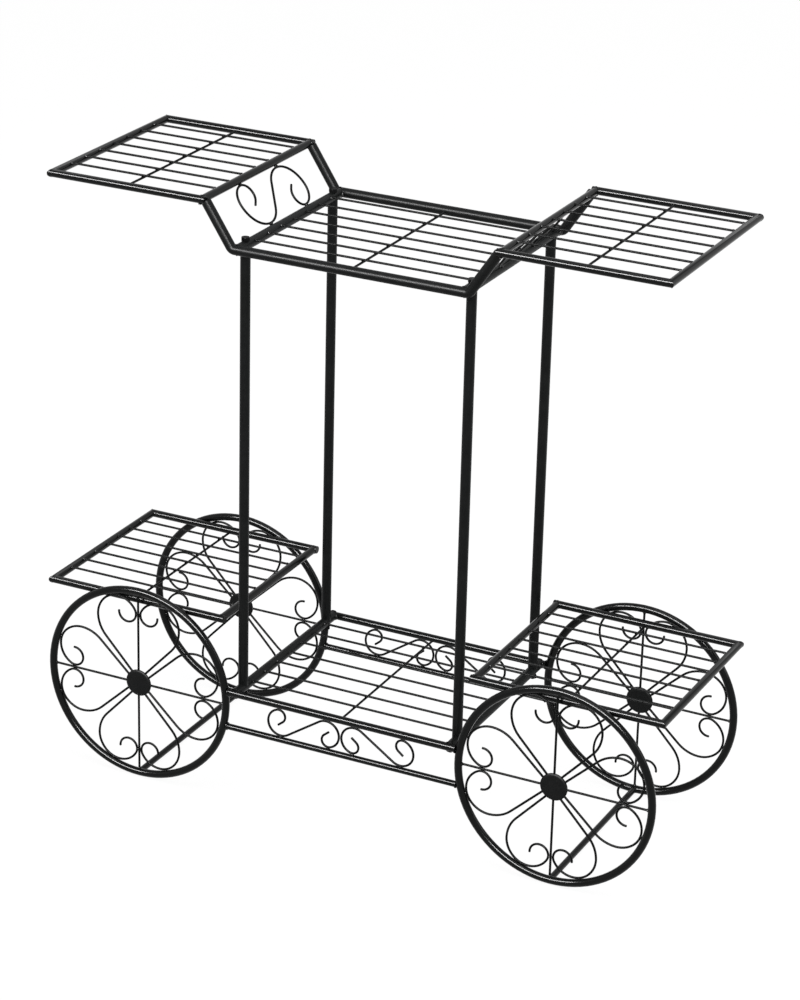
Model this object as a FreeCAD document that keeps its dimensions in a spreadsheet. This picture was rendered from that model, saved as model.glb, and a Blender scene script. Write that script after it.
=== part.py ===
import FreeCAD, Part
import math
import os

# Two-tier flower cart stand in painted steel tube and wire.
# Four ornamental wheels stand on the floor in two pairs. Shelves on three
# levels hang between and above them: two mid shelves inside the wheels, a low
# centre shelf between the two side panels, a high centre shelf on four posts,
# and two raised wings at its ends.
# X runs along the cart, Y across it, Z up. The floor is z = 0.
# All sizes are in millimetres.
# Round tube is drawn with sixteen flats and thin wire with six, each as wide
# across its flats as the stock's diameter, and bends are short mitred chords.

doc = FreeCAD.newDocument("flower_cart_stand")
sheet = doc.addObject("Spreadsheet::Sheet", "Sizes")

SIZES = (
    # clearances: welded ends stand this far off, the bolts and plugs run free
    ("joint_gap", 0.25),
    ("bolt_clearance", 0.2),
    ("plug_clearance", 0.15),
    # round stock
    ("rim_dia", 10.0),
    ("post_dia", 12.7),
    ("post_wall", 1.0),
    ("top_rail_dia", 12.7),
    ("end_rail_dia", 12.7),
    ("end_bar_dia", 12.7),
    ("wing_dia", 10.0),
    ("mid_dia", 10.0),
    ("panel_top_dia", 10.0),
    ("panel_low_dia", 8.0),
    ("cross_bar_dia", 8.0),
    ("wire_dia", 3.0),
    ("spoke_dia", 3.0),
    ("curl_dia", 3.0),
    ("scroll_dia", 3.0),
    # wheels: centre lines of the rims, and the hub discs
    ("wheel_spacing", 582.0),
    ("track_width", 268.8),
    ("rim_radius", 128.0),
    ("hub_dia", 36.0),
    ("hub_thickness", 4.5),
    ("hub_edge", 1.0),
    # side panels between the wheels
    ("panel_rail_height", 151.4),
    ("panel_low_height", 103.0),
    # posts
    ("post_spacing", 300.4),
    ("post_width", 225.2),
    # high centre shelf and the slopes at its ends
    ("top_shelf_height", 739.7),
    ("top_shelf_width", 268.0),
    ("bend_overhang", 6.3),
    ("slope_angle", 56.6),
    ("slope_bend_radius", 15.0),
    ("slope_end_drop", 1.5),
    # wings
    ("wing_rise", 56.6),
    ("wing_seat", 2.5),
    ("wing_length", 208.9),
    ("wing_width", 274.6),
    # mid shelves, their height taken from the wheels' centres
    ("mid_shelf_height", 112.5),
    ("mid_inner_x", 176.0),
    ("mid_outer_x", 422.5),
    # shelf wires: their height over the rails' axes, pitch and number
    ("wire_lift", 3.4),
    ("shelf_wire_pitch", 32.7),
    ("wing_wire_pitch", 33.0),
    ("mid_wire_pitch", 29.2),
    ("wire_count", 7),
    # bolts through the end rails and end bars into the posts
    ("bolt_dia", 6.0),
    ("bolt_head_af", 10.0),
    ("bolt_head_height", 4.0),
    ("thread_depth", 12.0),
    ("plug_length", 14.0),
    # ornament: bend of each scroll, as its straight run, arcs and tail
    ("curl_heading", 133.0),
    ("panel_heading", 34.0),
    ("slope_heading", 52.0),
)

for row, (alias, value) in enumerate(SIZES, start=1):
    sheet.set("A%d" % row, alias.replace("_", " "))
    sheet.set("B%d" % row, str(value))
    sheet.setAlias("B%d" % row, alias)
doc.recompute()


def size(alias):
    return float(sheet.get(alias))


gap = size("joint_gap")

# places that follow from the sizes
rim_r = size("rim_dia") / 2
wheel_x = size("wheel_spacing") / 2
wheel_y = size("track_width") / 2
wheel_z = size("rim_radius") + rim_r
post_x = size("post_spacing") / 2
post_y = size("post_width") / 2
top_y = size("top_shelf_width") / 2
top_z = size("top_shelf_height")
panel_z = size("panel_rail_height")
bend_x = post_x + size("bend_overhang")
slope = math.radians(size("slope_angle"))
wing_z = top_z + size("wing_rise")
wing_r = size("wing_dia") / 2
wing_inner_x = bend_x + (wing_z - top_z) / math.tan(slope) + size("wing_seat")
wing_outer_x = wing_inner_x + size("wing_length")
wing_y = size("wing_width") / 2
mid_z = wheel_z + size("mid_shelf_height")
mid_r = size("mid_dia") / 2
mid_y = wheel_y - rim_r - mid_r - gap

V = FreeCAD.Vector
X, Y, Z = V(1, 0, 0), V(0, 1, 0), V(0, 0, 1)

nodes = {}


def keep(label, obj):
    obj.Label = label
    nodes[label] = obj
    return obj


def along(base, axis, side):
    # placement whose own Z runs along axis and whose own Y points to side
    x = side.cross(axis)
    m = FreeCAD.Matrix(x.x, side.x, axis.x, base.x,
                       x.y, side.y, axis.y, base.y,
                       x.z, side.z, axis.z, base.z,
                       0, 0, 0, 1)
    return FreeCAD.Placement(m)


def side_of(axis):
    return Y if abs(axis.z) > 0.5 else Z


TUBE_SIDES = 16


def turned(placement, sides):
    # a regular section turned by half a side, so that flats face its own axes
    half = FreeCAD.Rotation(Z, 180.0 / sides)
    return placement.multiply(FreeCAD.Placement(V(0, 0, 0), half))


def rod(dia, start, end, extra=0.0, sides=TUBE_SIDES):
    # bar from start to end; extra is added to its half width
    c = doc.addObject("Part::Prism", "Rod")
    c.Polygon = sides
    c.setExpression("Circumradius", "(Sizes.%s / 2 + %r) / cos(180 / %d)" % (dia, extra, sides))
    c.Height = (end - start).Length
    axis = (end - start).normalize()
    c.Placement = turned(along(start, axis, side_of(axis)), sides)
    return c


def wire(dia, start, end, side=None):
    # thin wire: a hexagonal prism as wide across its flats as the wire
    p = doc.addObject("Part::Prism", "Wire")
    p.Polygon = 6
    p.setExpression("Circumradius", "Sizes.%s / 2 / cos(30)" % dia)
    p.Height = (end - start).Length
    axis = (end - start).normalize()
    p.Placement = along(start, axis, side or side_of(axis))
    return p


def cut(base, *tools):
    for tool in tools:
        c = doc.addObject("Part::Cut", "Coped")
        c.Base = base
        c.Tool = tool
        base = c
    return base


def group(label, members):
    c = doc.addObject("Part::Compound", "Group")
    c.Links = members
    return keep(label, c)


def bent(points, radius, chords):
    # the points of a bent centre line: each corner becomes a few chords that
    # touch the arc of the bend from outside
    out = [points[0]]
    for a, b, c in zip(points, points[1:], points[2:]):
        u = (a - b).normalize()
        v = (c - b).normalize()
        half = u.getAngle(v) / 2
        centre = b + (u + v).normalize() * (radius / math.sin(half))
        first = b + u * (radius / math.tan(half)) - centre
        last = b + v * (radius / math.tan(half)) - centre
        step = (math.pi - 2 * half) / chords
        ray = V(first).normalize() * (radius / math.cos(step / 2))
        pole = first.cross(last).normalize()
        for i in range(chords):
            swing = FreeCAD.Rotation(pole, math.degrees(step * (i + 0.5)))
            out.append(centre + swing.multVec(ray))
    out.append(points[-1])
    return out


def bent_tube(points, radius, dia, chords):
    # a tube swept along its centre line, mitred at each corner, or at the
    # chords of a corner that is bent to a radius
    spine = doc.addObject("Part::Polygon", "Spine")
    spine.Nodes = bent(points, size(radius), chords) if radius else points
    spine.Close = False
    ring = doc.addObject("Part::RegularPolygon", "Section")
    ring.Polygon = TUBE_SIDES
    ring.setExpression("Circumradius", "Sizes.%s / 2 / cos(180 / %d)" % (dia, TUBE_SIDES))
    axis = (points[1] - points[0]).normalize()
    plane = axis.cross(points[2] - points[1]).normalize()
    ring.Placement = turned(along(points[0], axis, plane), TUBE_SIDES)
    s = doc.addObject("Part::Sweep", "Tube")
    s.Sections = [ring]
    s.Spine = (spine, ["Edge%d" % (i + 1) for i in range(len(spine.Nodes) - 1)])
    s.Solid = True
    s.Frenet = False
    s.Transition = "Right corner"
    return s


def mirror_x(p, side):
    return V(p.x * side, p.y, p.z)


def reach(dia, offset, thickness=None):
    # distance from a round rail's axis at which a flat end beside it is clear
    t = size("wire_dia") / 2 if thickness is None else thickness
    inner = max(abs(offset) - t, 0.0)
    r = size(dia) / 2
    return math.sqrt(max(r * r - inner * inner, 0.0)) + gap


SIDES = (("left", -1), ("right", 1))
FACES = (("front", -1), ("back", 1))

# ---------------------------------------------------------------- wheels
RIM_CHORDS = 48
HUB_SIDES = 20


def rim_shape(radius, tube_r):
    # a closed ring of straight chords, flat below, with an octagonal section
    step = 2 * math.pi / RIM_CHORDS
    stretch = 1 / math.cos(step / 2)
    corner = tube_r / math.cos(math.pi / 8)
    section = []
    for k in range(8):
        a = math.pi / 8 + k * math.pi / 4
        section.append((corner * math.cos(a), corner * math.sin(a)))
    rings = []
    for j in range(RIM_CHORDS):
        t = -math.pi / 2 + (j + 0.5) * step
        ring = []
        for dr, dy in section:
            r = (radius + dr) * stretch
            ring.append(V(r * math.cos(t), dy, r * math.sin(t)))
        rings.append(ring)
    faces = []
    for j in range(RIM_CHORDS):
        a = rings[j]
        b = rings[(j + 1) % RIM_CHORDS]
        for k in range(8):
            m = (k + 1) % 8
            quad = Part.makePolygon([a[k], b[k], b[m], a[m], a[k]])
            faces.append(Part.Face(quad))
    return Part.Solid(Part.Shell(faces))


CHORD_SAG = 1.1


def chords_of(radius, turn):
    # an arc takes as many chords as keep each within the sag of the true bend
    most = 2 * math.degrees(math.acos(1 - CHORD_SAG / radius))
    return max(1, math.ceil(turn / most - 0.1))


def turtle(start, heading, runs, true=False):
    # centre line of a bent wire: straight runs (length, 0) and arcs (radius,
    # clockwise turn in degrees), as chords, or finely for the true bend
    p = start
    h = math.radians(heading)
    points = [p]
    for a, turn in runs:
        if turn == 0:
            p = (p[0] + a * math.cos(h), p[1] + a * math.sin(h))
            points.append(p)
            continue
        cx = p[0] + a * math.sin(h)
        cy = p[1] - a * math.cos(h)
        n = chords_of(a, turn) * (12 if true else 1)
        for i in range(1, n + 1):
            t = h - math.radians(turn) * i / n
            points.append((cx - a * math.sin(t), cy + a * math.cos(t)))
        p = points[-1]
        h -= math.radians(turn)
    return points


def outline(points, width):
    # both edges of a flat bar that follows the centre line, mitred at bends
    def normal(a, b):
        d = math.hypot(b[0] - a[0], b[1] - a[1])
        return (-(b[1] - a[1]) / d, (b[0] - a[0]) / d)
    runs = [normal(a, b) for a, b in zip(points, points[1:])]
    one, two = [], []
    for i, p in enumerate(points):
        n1 = runs[max(i - 1, 0)]
        n2 = runs[min(i, len(runs) - 1)]
        k = (width / 2) / (1 + n1[0] * n2[0] + n1[1] * n2[1])
        off = ((n1[0] + n2[0]) * k, (n1[1] + n2[1]) * k)
        one.append((p[0] + off[0], p[1] + off[1]))
        two.append((p[0] - off[0], p[1] - off[1]))
    return one + two[::-1]


def flat_bar(corners, dia, normal):
    # the closed outline, thickened evenly to both sides of its plane
    face = doc.addObject("Part::Polygon", "Outline")
    face.Nodes = corners
    face.Close = True
    bar = doc.addObject("Part::Extrusion", "Bar")
    bar.Base = face
    bar.DirMode = "Custom"
    bar.Dir = normal
    bar.Solid = True
    bar.Symmetric = True
    bar.setExpression("LengthFwd", "Sizes.%s" % dia)
    return bar


# One curl, in the quarter beside the upright spoke: it leaves the hub,
# swings outward, touches the rim, comes back to the spoke and rolls in.
CURL_RUNS = ((57.5, 0), (42.5, 41.9), (32.9, 46.4), (28.6, 105.8), (12.5, 212.0))
CURL_START = 16.7
CURL_START_ANGLE = 123.0
hub_r = size("hub_dia") / 2
spoke_r = size("spoke_dia") / 2
curl_w = size("curl_dia")
rim_inner = size("rim_radius") - rim_r


def curl_line():
    # the curl is scaled and turned so that its true bend spans from the rim
    # to the upright spoke
    a = math.radians(CURL_START_ANGLE)
    start = (CURL_START * math.cos(a), CURL_START * math.sin(a))
    drawn = turtle(start, size("curl_heading"), CURL_RUNS)
    true = turtle(start, size("curl_heading"), CURL_RUNS, True)
    half = curl_w / 2 + gap
    k = (rim_inner - half) / max(math.hypot(x, y) for x, y in true)
    turn = 0.0
    for _ in range(30):
        c, s = math.cos(turn) * k, math.sin(turn) * k
        right = max(x * c - y * s for x, y in true[2:])
        turn += (right + spoke_r + half) / (rim_inner * 0.75)
    line = [(x * c - y * s, x * s + y * c) for x, y in drawn]
    # trim the first run so that it starts just outside the hub disc
    (x0, y0), (x1, y1) = line[0], line[1]
    start = hub_r + gap + curl_w / 4
    low, high = -0.5, 0.9
    for _ in range(40):
        t = (low + high) / 2
        if math.hypot(x0 + (x1 - x0) * t, y0 + (y1 - y0) * t) < start:
            low = t
        else:
            high = t
    line[0] = (x0 + (x1 - x0) * high, y0 + (y1 - y0) * high)
    return line


curl_edge = outline(curl_line(), curl_w)
# the eight curls: mirrored at the spokes and at the diagonals
EIGHT = ((1, 0, 0, 1), (-1, 0, 0, 1), (1, 0, 0, -1), (-1, 0, 0, -1),
         (0, 1, 1, 0), (0, -1, 1, 0), (0, 1, -1, 0), (0, -1, -1, 0))

for face, fy in FACES:
    for side, sx in SIDES:
        name = "%s_%s_" % (face, side)
        centre = V(wheel_x * sx, wheel_y * fy, wheel_z)
        rim = doc.addObject("Part::Feature", "Rim")
        rim.Shape = rim_shape(size("rim_radius"), rim_r)
        rim.Placement = FreeCAD.Placement(centre, FreeCAD.Rotation())
        keep(name + "rim", rim)

        half = Y * (size("hub_thickness") / 2)
        disc = rod("hub_dia", centre - half, centre + half, 0.0, HUB_SIDES)
        doc.recompute()
        bevel = doc.addObject("Part::Chamfer", "HubBevel")
        bevel.Base = disc
        edge = size("hub_edge")
        level = [i + 1 for i, e in enumerate(disc.Shape.Edges)
                 if abs(e.Vertexes[0].Y - e.Vertexes[-1].Y) < 1e-6]
        bevel.Edges = [(i, edge, edge) for i in level]
        keep(name + "hub_disc", bevel)

        spokes = []
        for axis in (X, Z, X * -1, Z * -1):
            spokes.append(wire("spoke_dia", centre + axis * (hub_r + gap),
                               centre + axis * (rim_inner - gap), Y))
        group(name + "spokes", spokes)

        curls = []
        for a, b, c, d in EIGHT:
            corners = [centre + V(a * x + b * z, 0, c * x + d * z)
                       for x, z in curl_edge]
            curls.append(flat_bar(corners, "curl_dia", Y))
        group(name + "curls", curls)

# cross bars that tie the front and back wheels of each pair at the floor
for side, sx in SIDES:
    end = wheel_y - rim_r - gap
    keep(side + "_bottom_cross_bar",
         rod("cross_bar_dia", V(wheel_x * sx, -end, rim_r), V(wheel_x * sx, end, rim_r)))

# ---------------------------------------------------------------- panels


def rim_clear_x(height, tube_r):
    # how far a level rail at this height runs before it meets the rims
    outer = (size("rim_radius") + rim_r) / math.cos(math.pi / RIM_CHORDS)
    near = max(abs(height - wheel_z) - tube_r, 0.0)
    return wheel_x - math.sqrt(outer * outer - near * near) - gap


low_z = size("panel_low_height")
for face, fy in FACES:
    end = rim_clear_x(panel_z, size("panel_top_dia") / 2)
    keep(face + "_panel_upper_rail",
         rod("panel_top_dia", V(-end, wheel_y * fy, panel_z), V(end, wheel_y * fy, panel_z)))
    end = rim_clear_x(low_z, size("panel_low_dia") / 2)
    keep(face + "_panel_lower_rail",
         rod("panel_low_dia", V(-end, wheel_y * fy, low_z), V(end, wheel_y * fy, low_z)))


def scroll_line(heading, runs, height, width):
    # an S that is the same from both ends, about the middle of its straight,
    # scaled so that the true bend just spans the height between two rails
    lines = []
    for true in (False, True):
        runs_out = ((runs[0][0] / 2, 0),) + tuple(runs[1:])
        half = turtle((0.0, 0.0), heading, runs_out, true)
        back = [(-x, -y) for x, y in half[1:]]
        lines.append(back[::-1] + half[1:])
    drawn, true = lines
    k = (height - width) / 2 / max(y for _, y in true)
    far = max(x for x, _ in true) * k
    return [(x * k, y * k) for x, y in drawn], far


PANEL_RUNS = ((53.4, 0), (18.0, 195.0), (9.0, 160.0), (8.0, 0))
scroll_w = size("scroll_dia")
low_edge = low_z + size("panel_low_dia") / 2 + gap
high_edge = panel_z - size("panel_top_dia") / 2 - gap
panel_line, panel_far = scroll_line(size("panel_heading"), PANEL_RUNS,
                                    high_edge - low_edge, scroll_w)
panel_shift = panel_far + scroll_w / 2 + gap
panel_edge = outline(panel_line, scroll_w)
for face, fy in FACES:
    pair = []
    for sx in (-1, 1):
        corners = [V((x - panel_shift) * -sx, wheel_y * fy, z + (low_edge + high_edge) / 2)
                   for x, z in panel_edge]
        pair.append(flat_bar(corners, "scroll_dia", Y))
    group(face + "_panel_scrolls", pair)

# ---------------------------------------------------------------- low shelf
lift = size("wire_lift")
count = int(size("wire_count"))


def across(pitch):
    return [(i - (count - 1) / 2) * size(pitch) for i in range(count)]


bolt_r = size("bolt_dia") / 2
bar_r = size("end_bar_dia") / 2
rail_r = size("end_rail_dia") / 2
post_r = size("post_dia") / 2


def bolt_hole(x, y, z):
    long = Z * size("end_bar_dia")
    clear = size("bolt_clearance")
    return rod("bolt_dia", V(x, y, z) - long, V(x, y, z) + long, clear, 8)


for side, sx in SIDES:
    x = post_x * sx
    bar = rod("end_bar_dia", V(x, -wheel_y, panel_z), V(x, wheel_y, panel_z))
    tools = []
    for fy in (-1, 1):
        tools.append(rod("panel_top_dia", V(x - bar_r * 3, wheel_y * fy, panel_z),
                         V(x + bar_r * 3, wheel_y * fy, panel_z), gap))
        tools.append(bolt_hole(x, post_y * fy, panel_z))
    keep("lower_%s_end_bar" % side, cut(bar, *tools))

cross_z = lift - size("wire_dia") - gap
end = post_x - reach("end_bar_dia", lift)
group("lower_shelf_slats",
      [wire("wire_dia", V(-end, y, panel_z + lift), V(end, y, panel_z + lift))
       for y in across("shelf_wire_pitch")])
end = wheel_y - reach("panel_top_dia", cross_z)
keep("lower_shelf_cross_wire",
     wire("wire_dia", V(0, -end, panel_z + cross_z), V(0, end, panel_z + cross_z)))

# ---------------------------------------------------------------- high shelf
slope_x = bend_x + (wing_z - top_z - size("slope_end_drop")) / math.tan(slope)
slope_z = wing_z - size("slope_end_drop")
leg_start = wing_inner_x - wing_r
for face, fy in FACES:
    y = top_y * fy
    rail = bent_tube([V(-slope_x, y, slope_z), V(-bend_x, y, top_z),
                      V(bend_x, y, top_z), V(slope_x, y, slope_z)],
                     "slope_bend_radius", "top_rail_dia", 3)
    tools = []
    for sx in (-1, 1):
        tools.append(rod("wing_dia", V((leg_start - gap) * sx, wing_y * fy, wing_z),
                         V(wing_outer_x / 2 * sx, wing_y * fy, wing_z), gap))
        tools.append(rod("wing_dia", V(wing_inner_x * sx, wing_y * fy * 0.8, wing_z),
                         V(wing_inner_x * sx, wing_y * fy, wing_z), gap))
    keep("top_%s_rail" % face, cut(rail, *tools))

for side, sx in SIDES:
    x = post_x * sx
    bar = rod("end_rail_dia", V(x, -top_y, top_z), V(x, top_y, top_z))
    tools = []
    for fy in (-1, 1):
        tools.append(rod("top_rail_dia", V(x - rail_r * 3, top_y * fy, top_z),
                         V(x + rail_r * 3, top_y * fy, top_z), gap))
        tools.append(bolt_hole(x, post_y * fy, top_z))
    keep("top_%s_end_rail" % side, cut(bar, *tools))

end = post_x - reach("end_rail_dia", lift)
group("centre_shelf_slats",
      [wire("wire_dia", V(-end, y, top_z + lift), V(end, y, top_z + lift))
       for y in across("shelf_wire_pitch")])
end = top_y - reach("top_rail_dia", cross_z) - gap
keep("centre_shelf_cross_wire",
     wire("wire_dia", V(0, -end, top_z + cross_z), V(0, end, top_z + cross_z)))

# ---------------------------------------------------------------- posts
bore_r = post_r - size("post_wall")
plug_r = bore_r - size("plug_clearance")
for face, fy in FACES:
    for side, sx in SIDES:
        x, y = post_x * sx, post_y * fy
        outer = rod("post_dia", V(x, y, panel_z), V(x, y, top_z))
        bore = rod("post_dia", V(x, y, panel_z), V(x, y, top_z), -size("post_wall"))
        low = rod("end_bar_dia", V(x, y - post_r * 3, panel_z),
                  V(x, y + post_r * 3, panel_z), gap)
        high = rod("end_rail_dia", V(x, y - post_r * 3, top_z),
                   V(x, y + post_r * 3, top_z), gap)
        keep("%s_%s_post" % (face, side), cut(outer, bore, low, high))


def bolt(x, y, seat, into):
    # hexagon bolt: head on the far side of the rail, shank into the post
    tall = size("bolt_head_height")
    head = doc.addObject("Part::Prism", "Head")
    head.Polygon = 6
    head.setExpression("Circumradius", "Sizes.bolt_head_af / 2 / cos(30)")
    head.setExpression("Height", "Sizes.bolt_head_height")
    base = seat if into < 0 else seat - tall
    head.Placement = FreeCAD.Placement(V(x, y, base), FreeCAD.Rotation())
    shank = doc.addObject("Part::Prism", "Shank")
    shank.Polygon = 8
    shank.setExpression("Circumradius", "Sizes.bolt_dia / 2")
    run = shank_run
    shank.Height = run
    base = seat - run if into < 0 else seat
    shank.Placement = FreeCAD.Placement(V(x, y, base), FreeCAD.Rotation())
    both = doc.addObject("Part::Fuse", "Bolt")
    both.Base = head
    both.Tool = shank
    return both


def plug(x, y, base):
    # threaded insert fixed inside the end of a post
    body = doc.addObject("Part::Prism", "Insert")
    body.Polygon = 6
    body.Circumradius = plug_r
    body.setExpression("Height", "Sizes.plug_length")
    body.Placement = FreeCAD.Placement(V(x, y, base), FreeCAD.Rotation())
    hole = doc.addObject("Part::Prism", "Thread")
    hole.Polygon = 8
    hole.Circumradius = bolt_r + size("bolt_clearance") / 2
    hole.setExpression("Height", "Sizes.plug_length")
    hole.Placement = body.Placement
    return cut(body, hole)


tops, bottoms, plugs = [], [], []
for fy in (-1, 1):
    for sx in (-1, 1):
        x, y = post_x * sx, post_y * fy
        shank_run = 2 * rail_r + 2 * gap + size("thread_depth")
        tops.append(bolt(x, y, top_z + rail_r + gap, -1))
        shank_run = 2 * bar_r + 2 * gap + size("thread_depth")
        bottoms.append(bolt(x, y, panel_z - bar_r - gap, 1))
        plugs.append(plug(x, y, top_z - rail_r - gap - size("plug_length")))
        plugs.append(plug(x, y, panel_z + bar_r + gap))
group("post_top_bolts", tops)
group("post_bottom_bolts", bottoms)
group("post_thread_plugs", plugs)

# ---------------------------------------------------------------- wings
SLOPE_RUNS = ((40.0, 0), (36.0, 142.0), (24.0, 90.0), (15.0, 140.0), (7.0, 0))
rise = V(wing_inner_x - post_x, 0, wing_z - top_z)
span = rise.Length
up = V(rise).normalize()
low_edge = rail_r + gap
high_edge = span - wing_r - gap
slope_line, slope_far = scroll_line(size("slope_heading"), SLOPE_RUNS,
                                    high_edge - low_edge, scroll_w)
slope_edge = outline(slope_line, scroll_w)
for side, sx in SIDES:
    legs = [V(leg_start * sx, -wing_y, wing_z), V(wing_outer_x * sx, -wing_y, wing_z),
            V(wing_outer_x * sx, wing_y, wing_z), V(leg_start * sx, wing_y, wing_z)]
    keep(side + "_wing_rail", bent_tube(legs, None, "wing_dia", 1))

    x = wing_inner_x * sx
    bar = rod("wing_dia", V(x, -wing_y, wing_z), V(x, wing_y, wing_z))
    tools = [rod("wing_dia", V((leg_start - wing_r) * sx, wing_y * fy, wing_z),
                 V((leg_start + wing_r * 5) * sx, wing_y * fy, wing_z), gap)
             for fy in (-1, 1)]
    keep(side + "_wing_inner_rail", cut(bar, *tools))

    near = wing_inner_x + reach("wing_dia", lift)
    far = wing_outer_x - reach("wing_dia", lift) - gap
    group(side + "_wing_slats",
          [wire("wire_dia", V(near * sx, y, wing_z + lift), V(far * sx, y, wing_z + lift))
           for y in across("wing_wire_pitch")])
    x = (wing_inner_x + wing_outer_x) / 2 * sx
    end = wing_y - reach("wing_dia", cross_z) - gap
    keep(side + "_wing_cross_wire",
         wire("wire_dia", V(x, -end, wing_z + cross_z), V(x, end, wing_z + cross_z)))

    base = V(post_x, 0, top_z) + up * ((low_edge + high_edge) / 2)
    corners = [mirror_x(base + Y * u + up * v, sx) for u, v in slope_edge]
    flat = mirror_x(V(up.z, 0, -up.x), sx)
    keep(side + "_slope_scroll", flat_bar(corners, "scroll_dia", flat))

# ---------------------------------------------------------------- mid shelves
mid_in = size("mid_inner_x")
mid_out = size("mid_outer_x")
mid_start = mid_in - mid_r
for side, sx in SIDES:
    legs = [V(mid_start * sx, -mid_y, mid_z), V(mid_out * sx, -mid_y, mid_z),
            V(mid_out * sx, mid_y, mid_z), V(mid_start * sx, mid_y, mid_z)]
    keep(side + "_mid_shelf_rail", bent_tube(legs, None, "mid_dia", 1))

    x = mid_in * sx
    bar = rod("mid_dia", V(x, -mid_y, mid_z), V(x, mid_y, mid_z))
    tools = [rod("mid_dia", V((mid_start - mid_r) * sx, mid_y * fy, mid_z),
                 V((mid_start + mid_r * 5) * sx, mid_y * fy, mid_z), gap)
             for fy in (-1, 1)]
    keep(side + "_mid_shelf_inner_rail", cut(bar, *tools))

    near = mid_in + reach("mid_dia", lift)
    far = mid_out - reach("mid_dia", lift) - gap
    group(side + "_mid_shelf_slats",
          [wire("wire_dia", V(near * sx, y, mid_z + lift), V(far * sx, y, mid_z + lift))
           for y in across("mid_wire_pitch")])
    x = (mid_in + mid_out) / 2 * sx
    end = mid_y - reach("mid_dia", cross_z) - gap
    keep(side + "_mid_shelf_cross_wire",
         wire("wire_dia", V(x, -end, mid_z + cross_z), V(x, end, mid_z + cross_z)))

# ---------------------------------------------------------------- write out
doc.recompute()
bad = [o.Label for o in doc.Objects
       if any(s in ("Invalid", "Error") for s in o.State)]
if bad:
    raise RuntimeError("not built: " + ", ".join(bad))
for label, obj in nodes.items():
    s = obj.Shape
    if s.isNull() or not s.isValid() or not s.Solids or s.Volume <= 0:
        raise RuntimeError("bad shape: " + label)

os.makedirs("parts", exist_ok=True)
box = FreeCAD.BoundBox()
for label, obj in nodes.items():
    obj.Shape.exportStep("parts/%s.step" % label)
    box.add(obj.Shape.BoundBox)
print("%d nodes, box %.1f x %.1f x %.1f, low %.3f" % (
    len(nodes), box.XLength, box.YLength, box.ZLength, box.ZMin))
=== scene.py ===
import math
import random

import bmesh
import bpy
from mathutils import Matrix, Vector


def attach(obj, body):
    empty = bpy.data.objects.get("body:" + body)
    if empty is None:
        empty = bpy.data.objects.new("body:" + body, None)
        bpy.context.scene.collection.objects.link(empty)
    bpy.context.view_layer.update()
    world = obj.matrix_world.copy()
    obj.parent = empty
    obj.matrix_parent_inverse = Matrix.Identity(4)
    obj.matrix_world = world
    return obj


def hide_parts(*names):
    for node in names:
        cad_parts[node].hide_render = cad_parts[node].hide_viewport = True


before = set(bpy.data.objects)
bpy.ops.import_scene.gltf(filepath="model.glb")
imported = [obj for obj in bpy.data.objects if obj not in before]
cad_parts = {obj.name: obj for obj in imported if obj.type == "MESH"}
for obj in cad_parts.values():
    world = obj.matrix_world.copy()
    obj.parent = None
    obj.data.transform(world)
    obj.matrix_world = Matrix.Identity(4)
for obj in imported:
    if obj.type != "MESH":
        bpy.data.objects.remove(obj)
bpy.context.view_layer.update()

# Two-tier flower cart stand. Sizes are in millimetres, the scene in metres.
# X runs along the cart, Y across it, Z up, and the floor is z = 0.

MM = 0.001
GAP = 0.25                      # what a welded end stands off its host in the solids
TUBE_R = 6.35                   # posts, top rails, end bars and end rails
WIRE_R = 1.5

RIM_R, RIM_RADIUS = 5.0, 128.0
WHEEL_X, WHEEL_Y, WHEEL_Z = 291.0, 134.4, RIM_RADIUS + RIM_R
HUB_R = 18.0
CROSS_BAR_R = 4.0

POST_X, POST_Y = 150.2, 112.6
PANEL_Z, PANEL_R = 151.4, 5.0
LOW_Z, LOW_R = 103.0, 4.0

TOP_Z, TOP_Y = 739.7, 134.0
BEND_X, SLOPE_BEND = POST_X + 6.3, 6.8
SLOPE = math.radians(56.6)
WING_RISE = 56.6
SLOPE_X = BEND_X + WING_RISE / math.tan(SLOPE)
SLOPE_SHORT = 2.0               # the slope tube stops this far below the wing's axis

WING_Y, WING_Z, WING_R = 137.3, TOP_Z + WING_RISE, 5.0
WING_IN = SLOPE_X + 2.5
WING_OUT = WING_IN + 208.9
MID_Z, MID_R = 245.5, 5.0
MID_IN, MID_OUT = 176.0, 422.5
MID_Y = WHEEL_Y - RIM_R - MID_R - GAP

WIRES = 7                       # wires of a shelf
PITCH, WING_PITCH, MID_PITCH = 32.7, 33.0, 29.2
LIFT = 3.4                      # the wires' axis over the frame's axis
CROSS = LIFT - 2 * WIRE_R - GAP

# how far a visible end runs into what carries it
RIM_BITE, HUB_BITE, BAR_BITE, WIRE_BITE = 0.6, 1.0, 0.5, 0.4
END_DEPTH, INNER_DEPTH = 0.55, 0.5      # where a rail's end stops, in radii of its host

TUBE_SIDES, ROD_SIDES, WIRE_SIDES, BEAD_SIDES = 24, 20, 10, 6
RIM_STEPS, HUB_STEPS, SADDLE_STEPS, COLLAR_STEPS, BOLT_STEPS = 96, 40, 28, 24, 24
WIRE_DOME = 0.9                 # height of a wire's rounded end

SIDES = (("left", -1), ("right", 1))
FACES = (("front", -1), ("back", 1))


def V(x, y, z):
    return Vector((x, y, z))


X, Y, Z = V(1, 0, 0), V(0, 1, 0), V(0, 0, 1)


# ------------------------------------------------------------------ materials
TONE, FILM, PEEL, DUST = 38.0, 95.0, 260.0, 150.0      # scales per metre
SPREAD = (0.3, 0.7)             # the part of a noise that the ramps use


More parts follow.
